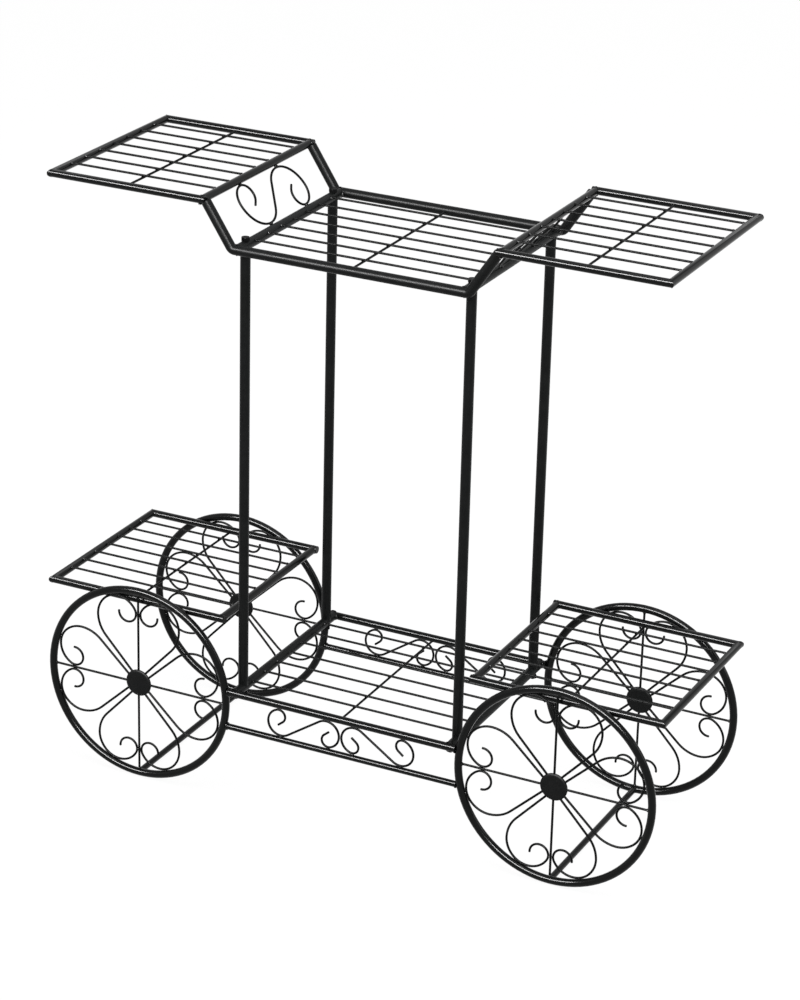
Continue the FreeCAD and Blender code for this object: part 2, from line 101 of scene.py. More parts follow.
def principled(name):
    mat = bpy.data.materials.new(name)
    mat.use_nodes = True
    t = mat.node_tree
    t.nodes.clear()
    out = t.nodes.new("ShaderNodeOutputMaterial")
    p = t.nodes.new("ShaderNodeBsdfPrincipled")
    t.links.new(p.outputs["BSDF"], out.inputs["Surface"])
    return mat, t, p, t.nodes.new("ShaderNodeTexCoord").outputs["Object"]


def noise(t, coord, scale, detail, rough=0.5):
    n = t.nodes.new("ShaderNodeTexNoise")
    n.inputs["Scale"].default_value = scale
    n.inputs["Detail"].default_value = detail
    n.inputs["Roughness"].default_value = rough
    t.links.new(coord, n.inputs["Vector"])
    return n.outputs["Fac"]


def ramp(t, fac, low, high, span=SPREAD):
    m = t.nodes.new("ShaderNodeMapRange")
    m.inputs["From Min"].default_value = span[0]
    m.inputs["From Max"].default_value = span[1]
    m.inputs["To Min"].default_value = low
    m.inputs["To Max"].default_value = high
    t.links.new(fac, m.inputs["Value"])
    return m.outputs["Result"]


def combine(t, operation, a, b):
    n = t.nodes.new("ShaderNodeMath")
    n.operation = operation
    t.links.new(a, n.inputs[0])
    t.links.new(b, n.inputs[1])
    return n.outputs["Value"]


def colour(t, p, fac, a, b):
    mix = t.nodes.new("ShaderNodeMix")
    mix.data_type = "RGBA"
    mix.inputs["A"].default_value = (*a, 1)
    mix.inputs["B"].default_value = (*b, 1)
    t.links.new(fac, mix.inputs["Factor"])
    t.links.new(mix.outputs["Result"], p.inputs["Base Color"])


def bump(t, p, height, strength, distance):
    n = t.nodes.new("ShaderNodeBump")
    n.inputs["Strength"].default_value = strength
    n.inputs["Distance"].default_value = distance
    t.links.new(height, n.inputs["Height"])
    t.links.new(n.outputs["Normal"], p.inputs["Normal"])


def paint(name, dark, light, rough, coat, peel, level):
    # sprayed enamel over steel: a slow change of tone, patches of duller and
    # glossier film, fine orange peel and a few specks of dust under the coat
    mat, t, p, coord = principled(name)
    colour(t, p, ramp(t, noise(t, coord, TONE, 4.0), 0, 1), dark, light)
    film = noise(t, coord, FILM, 3.0, 0.6)
    t.links.new(ramp(t, film, *rough), p.inputs["Roughness"])
    specks = t.nodes.new("ShaderNodeTexVoronoi")
    specks.inputs["Scale"].default_value = DUST
    t.links.new(coord, specks.inputs["Vector"])
    dust = ramp(t, specks.outputs["Distance"], 0.5, 0.0, (0.0, 0.12))
    height = combine(t, "ADD", noise(t, coord, PEEL, 2.0), dust)
    bump(t, p, height, peel, 0.00012)
    p.inputs["Specular IOR Level"].default_value = level
    p.inputs["Coat Weight"].default_value = coat
    p.inputs["Coat Roughness"].default_value = 0.12
    p.inputs["Coat IOR"].default_value = 1.2
    return mat


def metal(name, tint, rough, scale):
    mat, t, p, coord = principled(name)
    grain = noise(t, coord, scale, 4.0, 0.6)
    colour(t, p, grain, [c * 0.8 for c in tint], tint)
    t.links.new(ramp(t, grain, *rough), p.inputs["Roughness"])
    bump(t, p, grain, 0.15, 0.00005)
    p.inputs["Metallic"].default_value = 1.0
    return mat


PAINT = paint("black_enamel", (0.0030, 0.0034, 0.0034), (0.0050, 0.0055, 0.0055),
              rough=(0.14, 0.20), coat=0.1, peel=0.04, level=0.10)
PAINT_TUBE = paint("black_enamel_satin", (0.0066, 0.0073, 0.0073), (0.0100, 0.0108, 0.0108),
                   rough=(0.30, 0.40), coat=0.0, peel=0.06, level=0.065)
PAINT_WIRE = paint("black_enamel_wire", (0.0036, 0.0040, 0.0040), (0.0056, 0.0061, 0.0061),
                   rough=(0.30, 0.40), coat=0.0, peel=0.05, level=0.04)
PAINT_DISC = paint("black_enamel_disc", (0.0050, 0.0055, 0.0055), (0.0076, 0.0082, 0.0082),
                   rough=(0.40, 0.52), coat=0.0, peel=0.2, level=0.06)
WELD = paint("painted_weld", (0.0040, 0.0044, 0.0044), (0.0062, 0.0068, 0.0068),
             rough=(0.18, 0.32), coat=0.1, peel=0.4, level=0.10)
BOLT = paint("blackened_bolt", (0.0040, 0.0042, 0.0044), (0.0064, 0.0066, 0.0070),
             rough=(0.34, 0.46), coat=0.0, peel=0.1, level=0.05)
STEEL = metal("bare_steel", (0.55, 0.55, 0.56), rough=(0.3, 0.45), scale=300.0)


# ------------------------------------------------------------------ mesh tools
DOME_RINGS = (0.0, 0.30, 0.62, 0.87)    # rings of a domed end, from its tip
BLOB_ROWS, BLOB_COLS = 5, 8


class Shape:
    # vertices in millimetres and faces, gathered before they become one piece
    def __init__(self):
        self.v = []
        self.f = []

    def add(self, verts, faces):
        n = len(self.v)
        self.v += [Vector(p) for p in verts]
        self.f += [[i + n for i in face] for face in faces]

    def sweep(self, points, radius, sides, closed=False, dome=0.0, sizes=None):
        # a tube along the points, mitred at each, with flat or domed ends, or
        # closed in itself; sizes scales it at each point
        pts = [Vector(p) for p in points]
        n = len(pts)
        steps = [(pts[(i + 1) % n] - pts[i]).normalized() for i in range(n if closed else n - 1)]
        first = steps[0]
        ref = Z if abs(first.z) < 0.9 else Y
        if closed:
            ref = first.cross(steps[len(steps) // 4]).normalized()
        a = ref.cross(first).normalized()
        b = first.cross(a).normalized()
        ring = []
        for k in range(sides):
            t = 2 * math.pi * (k + 0.5) / sides
            ring.append(a * math.cos(t) * radius + b * math.sin(t) * radius)

        def cap(end, way):
            out = []
            for q in DOME_RINGS:
                w = math.sqrt(max(0.02, 1 - (1 - q) ** 2))
                out.append([end + way * (dome * (1 - q)) + r * w for r in ring])
            return out

        rings = cap(pts[0], -first) if dome else []
        for i, point in enumerate(pts):
            before = steps[i - 1] if closed else steps[max(i - 1, 0)]
            after = steps[i] if closed else steps[min(i, n - 2)]
            plane = (before + after).normalized()
            size = sizes[i] if sizes else 1.0
            rings.append([])
            for k, r in enumerate(ring):
                flat = r - before * (r.dot(plane) / before.dot(plane))
                rings[-1].append(point + flat * size)
                onward = flat - after * flat.dot(after)
                ring[k] = onward * (radius / onward.length)
        if dome:
            rings += cap(pts[-1], steps[-1])[::-1]

        faces = []
        m = len(rings)
        for i in range(m if closed else m - 1):
            j = (i + 1) % m
            shift = 0
            if closed and j == 0:
                # the last ring meets the first with the least twist
                shift = min(range(sides), key=lambda s: (rings[0][s] - rings[-1][0]).length)
            for k in range(sides):
                l = (k + 1) % sides
                faces.append([i * sides + k, i * sides + l,
                              j * sides + (l + shift) % sides, j * sides + (k + shift) % sides])
        if not closed:
            faces.append(list(range(sides))[::-1])
            faces.append([(m - 1) * sides + k for k in range(sides)])
        self.add([p for r in rings for p in r], faces)

    def bar(self, a, b, radius, sides):
        self.sweep([a, b], radius, sides)

    def blob(self, centre, radius, squash, seed):
        # a small lump of weld, slightly uneven
        rnd = random.Random(seed)
        rows, cols = BLOB_ROWS, BLOB_COLS
        verts = [Vector((0, 0, 1))]
        for i in range(1, rows):
            t = math.pi * i / rows
            for k in range(cols):
                u = 2 * math.pi * k / cols
                verts.append(V(math.sin(t) * math.cos(u), math.sin(t) * math.sin(u),
                               math.cos(t)) * rnd.uniform(0.88, 1.1))
        verts.append(Vector((0, 0, -1)))
        faces = []
        for k in range(cols):
            l = (k + 1) % cols
            faces.append([0, 1 + k, 1 + l])
            for i in range(rows - 2):
                a, b = 1 + i * cols, 1 + (i + 1) * cols
                faces.append([a + k, b + k, b + l, a + l])
            a = 1 + (rows - 2) * cols
            faces.append([a + l, a + k, len(verts) - 1])
        s = Vector(squash) * radius
        self.add([centre + V(p.x * s.x, p.y * s.y, p.z * s.z) for p in verts], faces)

    def bead(self, loop, radius, seed):
        # a run of weld round a joint, with the slight ripple of its pools
        rnd = random.Random(seed)
        self.sweep(loop, radius, BEAD_SIDES, closed=True,
                   sizes=[rnd.uniform(0.8, 1.15) for _ in loop])

    def mitre(self, corner, diagonal, radius, seed):
        # the ground-down seam in the plane of a mitred corner
        loop = []
        for i in range(SADDLE_STEPS):
            t = 2 * math.pi * i / SADDLE_STEPS
            loop.append(corner + diagonal * (radius * math.sqrt(2) * math.cos(t))
                        + Z * (radius * math.sin(t)))
        self.bead(loop, 0.55, seed)

    def piece(self, name, mat, nodes=(), slot="black_paint", sharp=40.0):
        mesh = bpy.data.meshes.new(name)
        mesh.from_pydata([p * MM for p in self.v], [], self.f)
        mesh.validate()
        mesh.update()
        bm = bmesh.new()
        bm.from_mesh(mesh)
        bmesh.ops.recalc_face_normals(bm, faces=bm.faces)
        bm.to_mesh(mesh)
        bm.free()
        for poly in mesh.polygons:
            poly.use_smooth = True
        mesh.set_sharp_from_angle(angle=math.radians(sharp))
        mesh.materials.append(mat)
        o = bpy.data.objects.new(name, mesh)
        bpy.context.scene.collection.objects.link(o)
        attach(o, "root")
        if nodes:
            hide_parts(*nodes)


def arc_path(points, radius, step=6.0):
    # straight runs joined by fine tangent arcs of one radius
    out = [points[0]]
    for a, b, c in zip(points, points[1:], points[2:]):
        u = (a - b).normalized()
        v = (c - b).normalized()
        half = u.angle(v) / 2
        centre = b + (u + v).normalized() * (radius / math.sin(half))
        first = b + u * (radius / math.tan(half)) - centre
        last = b + v * (radius / math.tan(half)) - centre
        n = max(2, math.ceil(math.degrees(math.pi - 2 * half) / step))
        total = first.angle(last)
        for i in range(n + 1):
            t = i / n
            w = (first * math.sin((1 - t) * total) + last * math.sin(t * total)) / math.sin(total)
            out.append(centre + w)
    out.append(points[-1])
    return out


def turtle(start, heading, runs, step=7.0):
    # a bent wire's centre line: straight runs (length, 0) and arcs (radius,
    # clockwise turn in degrees)
    p = start
    h = math.radians(heading)
    points = [p]
    for a, turn in runs:
        if turn == 0:
            p = (p[0] + a * math.cos(h), p[1] + a * math.sin(h))
            points.append(p)
            continue
        cx = p[0] + a * math.sin(h)
        cy = p[1] - a * math.cos(h)
        n = max(3, math.ceil(turn / step))
        for i in range(1, n + 1):
            t = h - math.radians(turn) * i / n
            points.append((cx - a * math.sin(t), cy + a * math.cos(t)))
        p = points[-1]
        h -= math.radians(turn)
    return points


def scroll_line(heading, runs, height):
    # an S of wire through its middle, scaled to stand between two rails
    half = turtle((0.0, 0.0), heading, ((runs[0][0] / 2, 0),) + tuple(runs[1:]))
    line = [(-x, -y) for x, y in half[1:]][::-1] + half[1:]
    k = (height - 2 * WIRE_R) / 2 / max(y for _, y in line)
    return [(x * k, y * k) for x, y in line]


def saddle(end, axis, host, tube_r, host_r):
    # where a round tube that comes along -axis meets a round host tube: the
    # loop around the tube at the host's skin
    axis, host = axis.normalized(), host.normalized()
    third = axis.cross(host)
    out = []
    for i in range(SADDLE_STEPS):
        t = 2 * math.pi * i / SADDLE_STEPS
        across = tube_r * math.sin(t)
        back = math.sqrt(max(host_r * host_r - across * across, 0.0))
        out.append(end + axis * back + host * (tube_r * math.cos(t)) + third * across)
    return out


def highest(points):
    return max(points, key=lambda p: p.z)


def lowest(points):
    return min(points, key=lambda p: p.z)


# ------------------------------------------------------------------ wheels
CURL_RUNS = ((57.5, 0), (42.5, 41.9), (32.9, 46.4), (28.6, 105.8), (12.5, 212.0))
CURL_START, CURL_START_ANGLE, CURL_HEADING = 16.7, 123.0, 133.0
# one half of the disc's rolled edge, from its flat middle outwards: radius and height
HUB_EDGE = ((14.5, 2.25), (16.2, 2.1), (17.3, 1.5), (HUB_R, 0.7))
# the eight ways in which a wheel holds its curl, mirrored and turned
EIGHT = ((1, 0, 0, 1), (-1, 0, 0, 1), (1, 0, 0, -1), (-1, 0, 0, -1),
         (0, 1, 1, 0), (0, -1, 1, 0), (0, 1, -1, 0), (0, -1, -1, 0))
FOUR = (X, Z, X * -1, Z * -1)


def curl_line():
    # the curl in its own proportions, sized to stand one gap off the rim and
    # turned until it stands the same off the spoke
    a = math.radians(CURL_START_ANGLE)
    true = turtle((CURL_START * math.cos(a), CURL_START * math.sin(a)), CURL_HEADING, CURL_RUNS)
    half = WIRE_R + GAP
    inner = RIM_RADIUS - RIM_R
    k = (inner - half) / max(math.hypot(x, y) for x, y in true)
    turn = 0.0
    for _ in range(30):
        c, s = math.cos(turn) * k, math.sin(turn) * k
        right = max(x * c - y * s for x, y in true[2:])
        turn += (right + WIRE_R + half) / (inner * 0.75)
    return [(x * c - y * s, x * s + y * c) for x, y in true]


CURL = curl_line()
AT_RIM = [v * 1.012 for v in max(CURL, key=lambda p: math.hypot(*p))]
AT_SPOKE = max(CURL[2:], key=lambda p: p[0])
AT_SPOKE = (AT_SPOKE[0] + 1.6, AT_SPOKE[1])


def hub_disc(c):
    # a pressed disc with a turned-over edge and a flat middle
    edge = HUB_EDGE + tuple((r, -h) for r, h in HUB_EDGE[::-1])
    m = HUB_STEPS
    verts = [c + Y * edge[0][1]]
    for r, h in edge:
        for k in range(m):
            t = 2 * math.pi * k / m
            verts.append(c + V(r * math.cos(t), h, r * math.sin(t)))
    verts.append(c + Y * edge[-1][1])
    faces = []
    for k in range(m):
        l = (k + 1) % m
        faces.append([0, 1 + k, 1 + l])
        for j in range(len(edge) - 1):
            a, b = 1 + j * m, 1 + (j + 1) * m
            faces.append([a + k, b + k, b + l, a + l])
        a = 1 + (len(edge) - 1) * m
        faces.append([a + l, a + k, len(verts) - 1])
    disc = Shape()
    disc.add(verts, faces)
    return disc


def wheel(name, c):
    rim, spokes, curls, welds = Shape(), Shape(), Shape(), Shape()
    turns = [2 * math.pi * i / RIM_STEPS for i in range(RIM_STEPS)]
    rim.sweep([c + V(RIM_RADIUS * math.sin(t), 0, -RIM_RADIUS * math.cos(t)) for t in turns],
              RIM_R, ROD_SIDES, closed=True)
    rim.piece(name + "rim_round", PAINT, [name + "rim"])
    hub_disc(c).piece(name + "hub", PAINT_DISC, [name + "hub_disc"])

    for axis in FOUR:
        spokes.bar(c + axis * (HUB_R - HUB_BITE), c + axis * (RIM_RADIUS - RIM_R + RIM_BITE),
                   WIRE_R, WIRE_SIDES)
    spokes.piece(name + "spokes_round", PAINT_WIRE, [name + "spokes"])

    for q, (a, b, d, e) in enumerate(EIGHT):
        line = [c + V(a * x + b * z, 0, d * x + e * z) for x, z in (*CURL, AT_RIM, AT_SPOKE)]
        at_rim, at_spoke = line[-2:]
        curls.sweep(line[:-2], WIRE_R, WIRE_SIDES, dome=WIRE_DOME)
        welds.blob(at_rim, 2.3, (1, 0.8, 1), q)
        if q % 2 == 0:
            welds.blob(at_spoke, 1.9, (1, 0.9, 1), q + 20)
    for q, axis in enumerate(FOUR):
        welds.blob(c + axis * (RIM_RADIUS - RIM_R), 2.4, (1, 0.9, 1), q + 40)
    curls.piece(name + "curls_round", PAINT_WIRE, [name + "curls"])
    welds.piece(name + "welds", WELD)


for face, fy in FACES:
    for side, sx in SIDES:
        wheel("%s_%s_" % (face, side), V(WHEEL_X * sx, WHEEL_Y * fy, WHEEL_Z))

welds = Shape()
for side, sx in SIDES:
    bar = Shape()
    end = WHEEL_Y - RIM_R + BAR_BITE
    bar.bar(V(WHEEL_X * sx, -end, RIM_R), V(WHEEL_X * sx, end, RIM_R), CROSS_BAR_R, ROD_SIDES)
    bar.piece(side + "_bottom_bar_round", PAINT, [side + "_bottom_cross_bar"])
    for fy in (-1, 1):
        foot = V(WHEEL_X * sx, WHEEL_Y * fy, RIM_R)
        welds.bead(saddle(foot, Y * -fy, X, CROSS_BAR_R, RIM_R), 1.0, 7 + fy + sx)
welds.piece("bottom_bar_welds", WELD)

# ------------------------------------------------------------------ panels
PANEL_TOP, PANEL_BOTTOM = PANEL_Z - PANEL_R, LOW_Z + LOW_R
PANEL_LINE = scroll_line(34.0, ((53.4, 0), (18.0, 195.0), (9.0, 160.0), (8.0, 0)),
                         PANEL_Z - PANEL_R - LOW_Z - LOW_R - 2 * GAP)
PANEL_MID = (PANEL_Z - PANEL_R + LOW_Z + LOW_R) / 2
PANEL_SHIFT = max(x for x, _ in PANEL_LINE) + WIRE_R + GAP
TOUCH = 3.0                     # a bend nearer to a rail than this is welded to it


def rim_meet_x(height, tube_r):
    near = max(abs(height - WHEEL_Z) - tube_r * 0.3, 0.0)
    return WHEEL_X - math.sqrt((RIM_RADIUS + RIM_R) ** 2 - near * near)


for face, fy in FACES:
    y = WHEEL_Y * fy
    for level, z, r in (("upper", PANEL_Z, PANEL_R), ("lower", LOW_Z, LOW_R)):
        rail = Shape()
        end = rim_meet_x(z, r) + RIM_BITE
        rail.bar(V(-end, y, z), V(end, y, z), r, ROD_SIDES)
        rail.piece("%s_panel_%s_round" % (face, level), PAINT, ["%s_panel_%s_rail" % (face, level)])
    scroll, welds = Shape(), Shape()
    for q, sx in enumerate((-1, 1)):
        line = [V((x - PANEL_SHIFT) * -sx, y, z + PANEL_MID) for x, z in PANEL_LINE]
        scroll.sweep(line, WIRE_R, WIRE_SIDES, dome=WIRE_DOME)
        for j, (p, z) in enumerate(((highest(line), PANEL_TOP), (lowest(line), PANEL_BOTTOM))):
            welds.blob(V(p.x, y, z), 2.4, (1.3, 0.9, 0.8), 60 + q * 2 + j)
        half = len(line) // 2
        for part in (line[:half], line[half:]):
            p = highest(part)
            if p.z > PANEL_TOP - TOUCH:
                welds.blob(V(p.x, y, PANEL_TOP), 2.3, (1.3, 0.9, 0.8), 70 + q)
            p = lowest(part)
            if p.z < PANEL_BOTTOM + TOUCH:
                welds.blob(V(p.x, y, PANEL_BOTTOM), 2.3, (1.3, 0.9, 0.8), 80 + q)
    turns = [2 * math.pi * i / COLLAR_STEPS for i in range(COLLAR_STEPS)]
    for sx in (-1, 1):
        for z, r in ((PANEL_Z, PANEL_R), (LOW_Z, LOW_R)):
            x = rim_meet_x(z, r) * sx - sx * 0.4
            collar = r + 0.2
            welds.bead([V(x, y + collar * math.cos(t), z + collar * math.sin(t)) for t in turns],
                       1.1, int(90 + sx + z))
    scroll.piece(face + "_panel_scrolls_round", PAINT_WIRE, [face + "_panel_scrolls"])
    welds.piece(face + "_panel_welds", WELD)


# ------------------------------------------------------------------ shelves
def slats(name, node, x0, x1, z, pitch, end_r, side_y, side_r):
    # the shelf's wires between its end rails, one cross wire below them
    # between its side rails, and their welds
    wires, cross, welds = Shape(), Shape(), Shape()
    rnd = random.Random(sum(map(ord, name)))
    way = 1 if x1 > x0 else -1
    reach = math.sqrt(max(end_r * end_r - LIFT * LIFT, 0)) - WIRE_BITE
    lo, hi = x0 + way * reach, x1 - way * reach
    middle = (x0 + x1) / 2
    for i in range(WIRES):
        y = (i - (WIRES - 1) / 2) * pitch
        wires.bar(V(lo, y, z + LIFT), V(hi, y, z + LIFT), WIRE_R, WIRE_SIDES)
        for x, d in ((lo, way), (hi, -way)):
            welds.blob(V(x + d * 0.9, y + rnd.uniform(-0.3, 0.3), z + LIFT - 0.1),
                       2.2, (1.1, 1.05, 0.8), i * 7 + d)
        welds.blob(V(middle, y, z + LIFT - WIRE_R), 1.5, (1.2, 1.2, 0.6), i + 30)
    wires.piece(name + "_wires_round", PAINT_WIRE, [node + "_slats"])
    end = side_y - side_r + BAR_BITE
    cross.bar(V(middle, -end, z + CROSS), V(middle, end, z + CROSS), WIRE_R, WIRE_SIDES)
    cross.piece(name + "_cross_round", PAINT_WIRE, [node + "_cross_wire"])
    for q, sy in enumerate((-1, 1)):
        welds.blob(V(middle, sy * (end - 0.6), z + CROSS), 2.2, (1.0, 1.1, 0.9), 50 + q)
    welds.piece(name + "_welds", WELD)


slats("lower_shelf", "lower_shelf", -POST_X, POST_X, PANEL_Z, PITCH, TUBE_R, WHEEL_Y, PANEL_R)
slats("centre_shelf", "centre_shelf", -POST_X, POST_X, TOP_Z, PITCH, TUBE_R, TOP_Y, TUBE_R)
for side, sx in SIDES:
    slats(side + "_wing", side + "_wing", WING_IN * sx, WING_OUT * sx, WING_Z, WING_PITCH,
          WING_R, WING_Y, WING_R)
    slats(side + "_mid", side + "_mid_shelf", MID_IN * sx, MID_OUT * sx, MID_Z, MID_PITCH,
          MID_R, MID_Y, MID_R)

# end bars and end rails, with the posts between them
for side, sx in SIDES:
    for z, host_y, host_r, node in (
            (PANEL_Z, WHEEL_Y, PANEL_R, "lower_%s_end_bar" % side),
            (TOP_Z, TOP_Y, TUBE_R, "top_%s_end_rail" % side)):
        bar, welds = Shape(), Shape()
        end = host_y - host_r * END_DEPTH
        bar.bar(V(POST_X * sx, -end, z), V(POST_X * sx, end, z), TUBE_R, TUBE_SIDES)
        bar.piece(node + "_round", PAINT_TUBE, [node])
        for fy in (-1, 1):
            welds.bead(saddle(V(POST_X * sx, host_y * fy, z), Y * -fy, X, TUBE_R, host_r), 1.0,
                       int(z) + fy + sx)
            for d in (-1, 1):
                welds.blob(V(POST_X * sx + 6.2 * d, (host_y - host_r - 0.4) * fy, z), 2.1,
                           (1.2, 1.2, 1.3), int(z) + d + 9)
        welds.piece(node + "_welds", WELD)
    for face, fy in FACES:
        post = Shape()
        c = V(POST_X * sx, POST_Y * fy, 0)
        post.bar(c + Z * (PANEL_Z + 2.5), c + Z * (TOP_Z - 2.5), TUBE_R, TUBE_SIDES)
        post.piece("%s_%s_post_round" % (face, side), PAINT_TUBE, ["%s_%s_post" % (face, side)])

# bolts through the end rails into the posts: hexagon heads with a bevelled top
BOLT_FLAT, BOLT_CORNER = 5.0, 5.77
BOLT_RINGS = ((5.3, -0.4), (BOLT_CORNER, 0.2), (BOLT_CORNER, 3.6), (BOLT_FLAT, 4.25))
heads = Shape()
for fy in (-1, 1):
    for sx in (-1, 1):
        base = V(POST_X * sx, POST_Y * fy, TOP_Z + TUBE_R)
        m, last = BOLT_STEPS, len(BOLT_RINGS) - 1
        verts = []
        for r, h in BOLT_RINGS:
            for k in range(m):
                t = 2 * math.pi * k / m
                flat = BOLT_FLAT / math.cos(t % (math.pi / 3) - math.pi / 6)
                verts.append(base + V(min(r, flat) * math.cos(t), min(r, flat) * math.sin(t), h))
        faces = [[j * m + k, j * m + (k + 1) % m, (j + 1) * m + (k + 1) % m, (j + 1) * m + k]
                 for j in range(last) for k in range(m)]
        faces += [list(range(m))[::-1], [last * m + k for k in range(m)]]
        heads.add(verts, faces)
heads.piece("post_top_bolt_heads", BOLT, ["post_top_bolts"], "bolt_black", 25.0)

# ------------------------------------------------------------------ top frame
for face, fy in FACES:
    y = TOP_Y * fy
    rail = Shape()
    dx = (WING_RISE - SLOPE_SHORT) / math.tan(SLOPE)
    top = WING_Z - SLOPE_SHORT
    rail.sweep(arc_path([V(-BEND_X - dx, y, top), V(-BEND_X, y, TOP_Z), V(BEND_X, y, TOP_Z),
                         V(BEND_X + dx, y, top)], SLOPE_BEND), TUBE_R, TUBE_SIDES)
    rail.piece("top_%s_rail_round" % face, PAINT_TUBE, ["top_%s_rail" % face])

RISE = V(WING_IN - POST_X, 0, WING_Z - TOP_Z)
UP_SLOPE = RISE.normalized()
LOW_EDGE, HIGH_EDGE = TUBE_R + GAP, RISE.length - WING_R - GAP
SLOPE_LINE = scroll_line(52.0, ((40.0, 0), (36.0, 142.0), (24.0, 90.0), (15.0, 140.0), (7.0, 0)),
                         HIGH_EDGE - LOW_EDGE)
SLOPE_TOUCH = 14.0              # a bend nearer to a rail than this is welded to it


def slope_scroll(side, sx, welds):
    base = V(POST_X, 0, TOP_Z) + UP_SLOPE * ((LOW_EDGE + HIGH_EDGE) / 2)
    line = [base + Y * u + UP_SLOPE * v for u, v in SLOPE_LINE]
    line = [V(p.x * sx, p.y, p.z) for p in line]
    scroll = Shape()
    scroll.sweep(line, WIRE_R, WIRE_SIDES, dome=WIRE_DOME)
    scroll.piece(side + "_slope_scroll_round", PAINT_WIRE, [side + "_slope_scroll"])
    half = len(line) // 2
    for q, part in enumerate((line[:half], line[half:])):
        hi, lo = highest(part), lowest(part)
        for p, d, near in ((hi, 1, hi.z > WING_Z - SLOPE_TOUCH),
                           (lo, -1, lo.z < TOP_Z + SLOPE_TOUCH)):
            if near:
                welds.blob(p + V(UP_SLOPE.x * sx, 0, UP_SLOPE.z) * (d * 1.4), 2.4, (1, 1.3, 1),
                           100 + q + d)


def u_frame(name, node, sx, x_in, x_out, y, z, r):
    # three tubes mitred at the outer corners, and the inner rail
    inner, outer = (x_in - r) * sx, x_out * sx
    u, rail = Shape(), Shape()
    u.sweep([V(inner, -y, z), V(outer, -y, z), V(outer, y, z), V(inner, y, z)], r, ROD_SIDES)
    u.piece(name + "_frame_round", PAINT, [node + "_rail"])
    end = y - r * INNER_DEPTH
    rail.bar(V(x_in * sx, -end, z), V(x_in * sx, end, z), r, ROD_SIDES)
    rail.piece(name + "_inner_round", PAINT, [node + "_inner_rail"])


def u_welds(welds, sx, fy, x_in, x_out, y, z, r, rail_seed, mitre_seed):
    welds.bead(saddle(V(x_in * sx, y * fy, z), Y * -fy, X, r, r), 0.9, rail_seed + fy + sx)
    welds.mitre(V(x_out * sx, y * fy, z), V(sx, fy, 0).normalized(), r - GAP,
                mitre_seed + fy + sx)


for side, sx in SIDES:
    welds = Shape()
    slope_scroll(side, sx, welds)
    wing = (WING_IN, WING_OUT, WING_Y, WING_Z, WING_R)
    u_frame(side + "_wing", side + "_wing", sx, *wing)
    for fy in (-1, 1):
        u_welds(welds, sx, fy, *wing, 110, 150)
        # the slope tube ends below the wing's corner, welded in the crotch
        for i, dy in enumerate((-3.5, 0.0, 3.5)):
            welds.blob(V((SLOPE_X + 3.6) * sx, (TOP_Y + 1.5) * fy + dy, WING_Z - WING_R), 2.3,
                       (1.0, 1.3, 0.6), 120 + i)
    welds.piece(side + "_wing_frame_welds", WELD)

    # the mid shelf's frame runs between the wheels and is welded to their rims
    welds = Shape()
    mid = (MID_IN, MID_OUT, MID_Y, MID_Z, MID_R)
    u_frame(side + "_mid", side + "_mid_shelf", sx, *mid)
    rim_dx = math.sqrt(RIM_RADIUS ** 2 - (MID_Z - WHEEL_Z) ** 2)
    for fy in (-1, 1):
        u_welds(welds, sx, fy, *mid, 130, 160)
        for d in (-1, 1):
            welds.blob(V((WHEEL_X + d * rim_dx) * sx, (WHEEL_Y - RIM_R) * fy, MID_Z), 3.4,
                       (1.5, 0.6, 1.1), 140 + fy + d)
    welds.piece(side + "_mid_frame_welds", WELD)

for node, mat in (("post_bottom_bolts", BOLT), ("post_thread_plugs", STEEL)):
    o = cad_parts[node]
    o.data.materials.clear()
    o.data.materials.append(mat)


# ------------------------------------------------------------------ floor, light
FLOOR_HALF = 30.0               # metres
FLOOR_GREY = 0.8                # what lights the stand from below
SHADOW_GREY, FLOOR_GLOW = 0.12, 0.93    # the seen floor: its shadow and its white
WORLD_PLAIN, WORLD_SEEN = 0.45, 1.0


def split_rays(t, out, plain, white):
    # what the camera, gloss and glass see is the white background; all other
    # rays meet the plain one
    path = t.nodes.new("ShaderNodeLightPath").outputs
    also = combine(t, "MAXIMUM", path["Is Glossy Ray"], path["Is Transmission Ray"])
    pick = t.nodes.new("ShaderNodeMixShader")
    t.links.new(combine(t, "MAXIMUM", path["Is Camera Ray"], also), pick.inputs["Fac"])
    t.links.new(plain, pick.inputs[1])
    t.links.new(white, pick.inputs[2])
    t.links.new(pick.outputs["Shader"], out.inputs["Surface"])


def diffuse(t, grey):
    n = t.nodes.new("ShaderNodeBsdfDiffuse")
    n.inputs["Color"].default_value = (grey, grey, grey, 1)
    return n.outputs["BSDF"]


def white_floor():
    mesh = bpy.data.meshes.new("floor")
    s = FLOOR_HALF
    mesh.from_pydata([(-s, -s, 0), (s, -s, 0), (s, s, 0), (-s, s, 0)], [], [(0, 1, 2, 3)])
    o = bpy.data.objects.new("floor", mesh)
    bpy.context.scene.collection.objects.link(o)
    mat = bpy.data.materials.new("pale_floor")
    mat.use_nodes = True
    t = mat.node_tree
    t.nodes.clear()
    out = t.nodes.new("ShaderNodeOutputMaterial")
    # the seen floor glows, and a thin diffuse part keeps the stand's shadow
    glow = t.nodes.new("ShaderNodeEmission")
    glow.inputs["Color"].default_value = (1, 1, 1, 1)
    glow.inputs["Strength"].default_value = FLOOR_GLOW
    both = t.nodes.new("ShaderNodeAddShader")
    t.links.new(diffuse(t, SHADOW_GREY), both.inputs[0])
    t.links.new(glow.outputs["Emission"], both.inputs[1])
    split_rays(t, out, diffuse(t, FLOOR_GREY), both.outputs["Shader"])
    o.data.materials.append(mat)


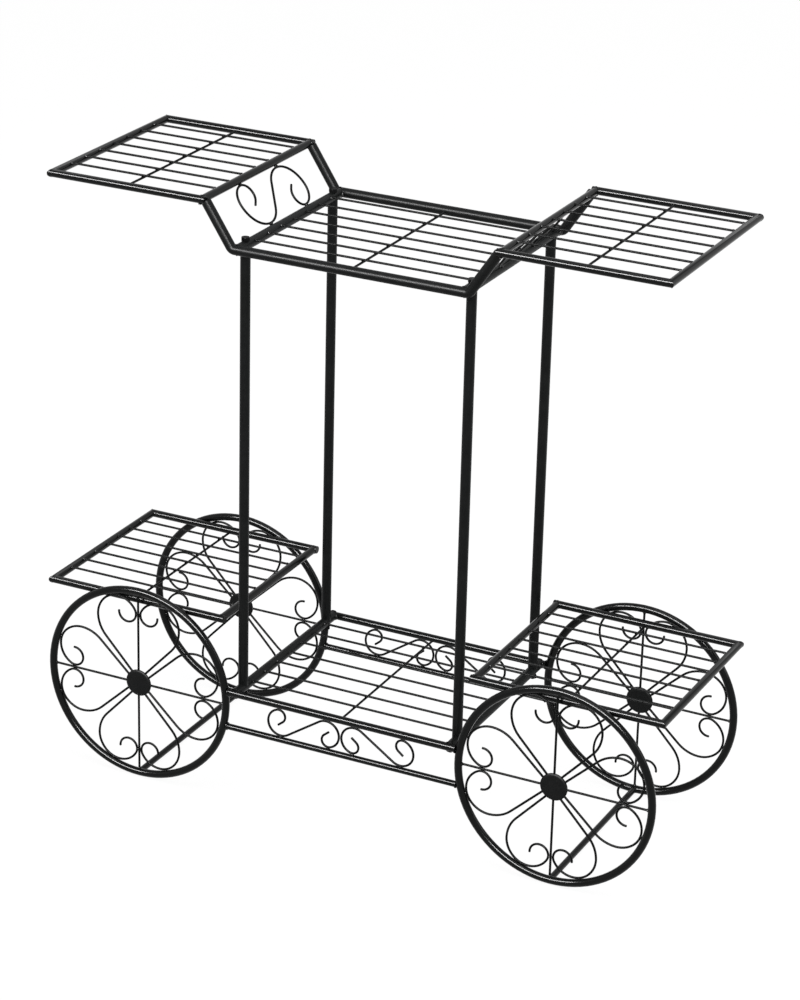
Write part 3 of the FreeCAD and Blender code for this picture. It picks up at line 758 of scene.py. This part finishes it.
def studio_world():
    world = bpy.data.worlds.new("studio")
    bpy.context.scene.world = world
    world.use_nodes = True
    t = world.node_tree
    t.nodes.clear()
    out = t.nodes.new("ShaderNodeOutputWorld")
    lights = []
    for strength in (WORLD_PLAIN, WORLD_SEEN):
        n = t.nodes.new("ShaderNodeBackground")
        n.inputs["Color"].default_value = (1, 1, 1, 1)
        n.inputs["Strength"].default_value = strength
        lights.append(n.outputs["Background"])
    split_rays(t, out, *lights)


def lamp(name, place, aim, size, size_y, power, shine_only=False):
    data = bpy.data.lights.new(name, "AREA")
    data.shape = "RECTANGLE"
    data.size = size
    data.size_y = size_y
    data.energy = power
    o = bpy.data.objects.new(name, data)
    o.location = place
    o.rotation_euler = (Vector(aim) - Vector(place)).to_track_quat("-Z", "Y").to_euler()
    o.visible_diffuse = not shine_only
    bpy.context.scene.collection.objects.link(o)


white_floor()
studio_world()
# the strip shows only in the gloss, as long thin highlights
lamp("front_strip", (-0.1, -3.3, 2.75), (0, 0, 0.45), 5.4, 0.8, 1700.0, shine_only=True)
lamp("top_soft", (0.4, -0.6, 3.6), (0, 0, 0.3), 2.4, 2.4, 60.0)
lamp("right_soft", (3.4, 0.8, 1.8), (0, 0, 0.4), 1.8, 1.8, 30.0)

# ------------------------------------------------------------------ camera
# fitted to the photograph, in its pixels of 800 x 1000
PHOTO_W, PHOTO_H = 800.0, 1000.0
FOCAL_PX, CENTRE_PX = 3213.93, (399.76, 464.01)
SENSOR = 36.0                   # spans the photo's height, its longer side
AZ, EL, ROLL = map(math.radians, (26.02, 22.27, 1.43))
AIM, DISTANCE = V(0.0076, 0, 0.4487), 3.9884

BACK = V(math.sin(AZ) * math.cos(EL), -math.cos(AZ) * math.cos(EL), math.sin(EL))
LEVEL = V(math.cos(AZ), math.sin(AZ), 0)
UPRIGHT = BACK.cross(LEVEL)
RIGHT = LEVEL * math.cos(ROLL) + UPRIGHT * math.sin(ROLL)
UP = UPRIGHT * math.cos(ROLL) - LEVEL * math.sin(ROLL)
data = bpy.data.cameras.new("camera")
data.sensor_width = SENSOR
data.sensor_fit = "AUTO"
data.lens = FOCAL_PX * SENSOR / PHOTO_H
data.shift_x = (PHOTO_W / 2 - CENTRE_PX[0]) / PHOTO_H
data.shift_y = (CENTRE_PX[1] - PHOTO_H / 2) / PHOTO_H
data.clip_start = 0.1
data.clip_end = 100.0
cam = bpy.data.objects.new("camera", data)
cam.location = AIM + BACK * DISTANCE
cam.rotation_euler = Matrix((RIGHT, UP, BACK)).transposed().to_euler()
bpy.context.scene.collection.objects.link(cam)
bpy.context.scene.camera = cam
bpy.context.scene.view_settings.view_transform = "Standard"
